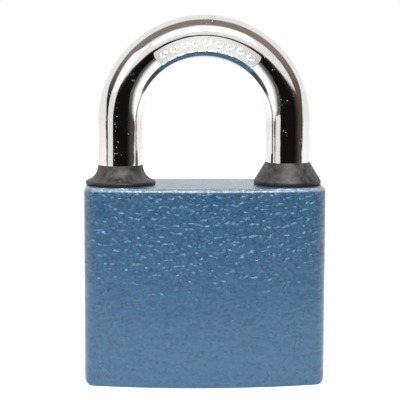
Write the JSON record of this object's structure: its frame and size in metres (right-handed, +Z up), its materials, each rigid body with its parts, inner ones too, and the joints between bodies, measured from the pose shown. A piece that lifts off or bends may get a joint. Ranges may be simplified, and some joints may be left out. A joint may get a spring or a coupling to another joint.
{
  "type": "padlock",
  "caption": "Block-bodied padlock with hammer-finish painted case, chromed round shackle, rubber leg seals, ball locking and a pin-tumbler cylinder keyed from below.",
  "frame": {"origin": "middle of the case's base", "axes": "+Z up along the shackle's legs, -Y is the front, the heel leg is at -X and the toe leg at +X"},
  "size_m": [0.06, 0.028, 0.0919],
  "materials": {
    "hammer_paint": "blue-grey hammer-finish enamel, semi-gloss, mottled",
    "chromed_rod": "polished chrome on hardened steel",
    "seal_rubber": "dark warm-grey moulded rubber, satin",
    "cylinder_brass": "turned and milled brass",
    "plug_brass": "turned brass",
    "pin_brass": "nickel-silver pins",
    "hardened_steel": "hardened steel, ground",
    "driver_steel": "turned steel",
    "ball_steel": "polished bearing-ball steel",
    "spring_steel": "drawn spring wire and stamped clip"
  },
  "bodies": {
    "case": {"case": "hammer_paint", "cylinder_shell": "cylinder_brass", "chamber_cover": "cylinder_brass", "shackle_retaining_pin": "hardened_steel", "cylinder_retaining_pin": "hardened_steel", "driver_spring_1": "spring_steel", "driver_spring_2": "spring_steel", "driver_spring_3": "spring_steel", "driver_spring_4": "spring_steel", "driver_spring_5": "spring_steel"},
    "shackle": {"shackle": "chromed_rod", "heel_seal": "seal_rubber", "toe_seal": "seal_rubber"},
    "plug": {"lock_plug": "plug_brass", "locking_cam": "hardened_steel", "plug_clip": "spring_steel"},
    "heel_ball": {"heel_ball": "ball_steel"},
    "toe_ball": {"toe_ball": "ball_steel"},
    "bottom_pin_1": {"bottom_pin_1": "pin_brass"},
    "bottom_pin_2": {"bottom_pin_2": "pin_brass"},
    "bottom_pin_3": {"bottom_pin_3": "pin_brass"},
    "bottom_pin_4": {"bottom_pin_4": "pin_brass"},
    "bottom_pin_5": {"bottom_pin_5": "pin_brass"},
    "driver_pin_1": {"driver_pin_1": "driver_steel"},
    "driver_pin_2": {"driver_pin_2": "driver_steel"},
    "driver_pin_3": {"driver_pin_3": "driver_steel"},
    "driver_pin_4": {"driver_pin_4": "driver_steel"},
    "driver_pin_5": {"driver_pin_5": "driver_steel"}
  },
  "joints": [
    {"name": "shackle_lift", "type": "slide", "parent": "case", "child": "shackle", "axis": [0, 0, 1], "range_m": [0, 0.017]},
    {"name": "plug_turn", "type": "hinge", "parent": "case", "child": "plug", "pos_m": [0, 0, 0.0004], "axis": [0, 0, -1], "range_deg": [0, 90]},
    {"name": "heel_ball_slide", "type": "slide", "parent": "case", "child": "heel_ball", "axis": [-1, 0, 0], "range_m": [0, 0.00235]},
    {"name": "toe_ball_slide", "type": "slide", "parent": "case", "child": "toe_ball", "axis": [1, 0, 0], "range_m": [0, 0.00235]},
    {"name": "bottom_pin_1_slide", "type": "slide", "parent": "plug", "child": "bottom_pin_1", "axis": [0, -1, 0], "range_m": [0, 0.0025]},
    {"name": "bottom_pin_2_slide", "type": "slide", "parent": "plug", "child": "bottom_pin_2", "axis": [0, -1, 0], "range_m": [0, 0.0007]},
    {"name": "bottom_pin_3_slide", "type": "slide", "parent": "plug", "child": "bottom_pin_3", "axis": [0, -1, 0], "range_m": [0, 0.0019]},
    {"name": "bottom_pin_4_slide", "type": "slide", "parent": "plug", "child": "bottom_pin_4", "axis": [0, -1, 0], "range_m": [0, 0.0013]},
    {"name": "bottom_pin_5_slide", "type": "slide", "parent": "plug", "child": "bottom_pin_5", "axis": [0, -1, 0], "range_m": [0, 0.0022]},
    {"name": "driver_pin_1_slide", "type": "slide", "parent": "case", "child": "driver_pin_1", "axis": [1, 0, 0], "range_m": [0, 0.0015], "stiffness_N_per_m": 150, "springref_m": -0.002, "deforming": ["driver_spring_1"]},
    {"name": "driver_pin_2_slide", "type": "slide", "parent": "case", "child": "driver_pin_2", "axis": [1, 0, 0], "range_m": [0, 0.0015], "stiffness_N_per_m": 150, "springref_m": -0.002, "deforming": ["driver_spring_2"]},
    {"name": "driver_pin_3_slide", "type": "slide", "parent": "case", "child": "driver_pin_3", "axis": [1, 0, 0], "range_m": [0, 0.0015], "stiffness_N_per_m": 150, "springref_m": -0.002, "deforming": ["driver_spring_3"]},
    {"name": "driver_pin_4_slide", "type": "slide", "parent": "case", "child": "driver_pin_4", "axis": [1, 0, 0], "range_m": [0, 0.0015], "stiffness_N_per_m": 150, "springref_m": -0.002, "deforming": ["driver_spring_4"]},
    {"name": "driver_pin_5_slide", "type": "slide", "parent": "case", "child": "driver_pin_5", "axis": [1, 0, 0], "range_m": [0, 0.0015], "stiffness_N_per_m": 150, "springref_m": -0.002, "deforming": ["driver_spring_5"]}
  ],
  "couplings": [
    {"joint": "heel_ball_slide", "follows": "plug_turn", "m_per_rad": 0.001496},
    {"joint": "toe_ball_slide", "follows": "plug_turn", "m_per_rad": 0.001496}
  ]
}
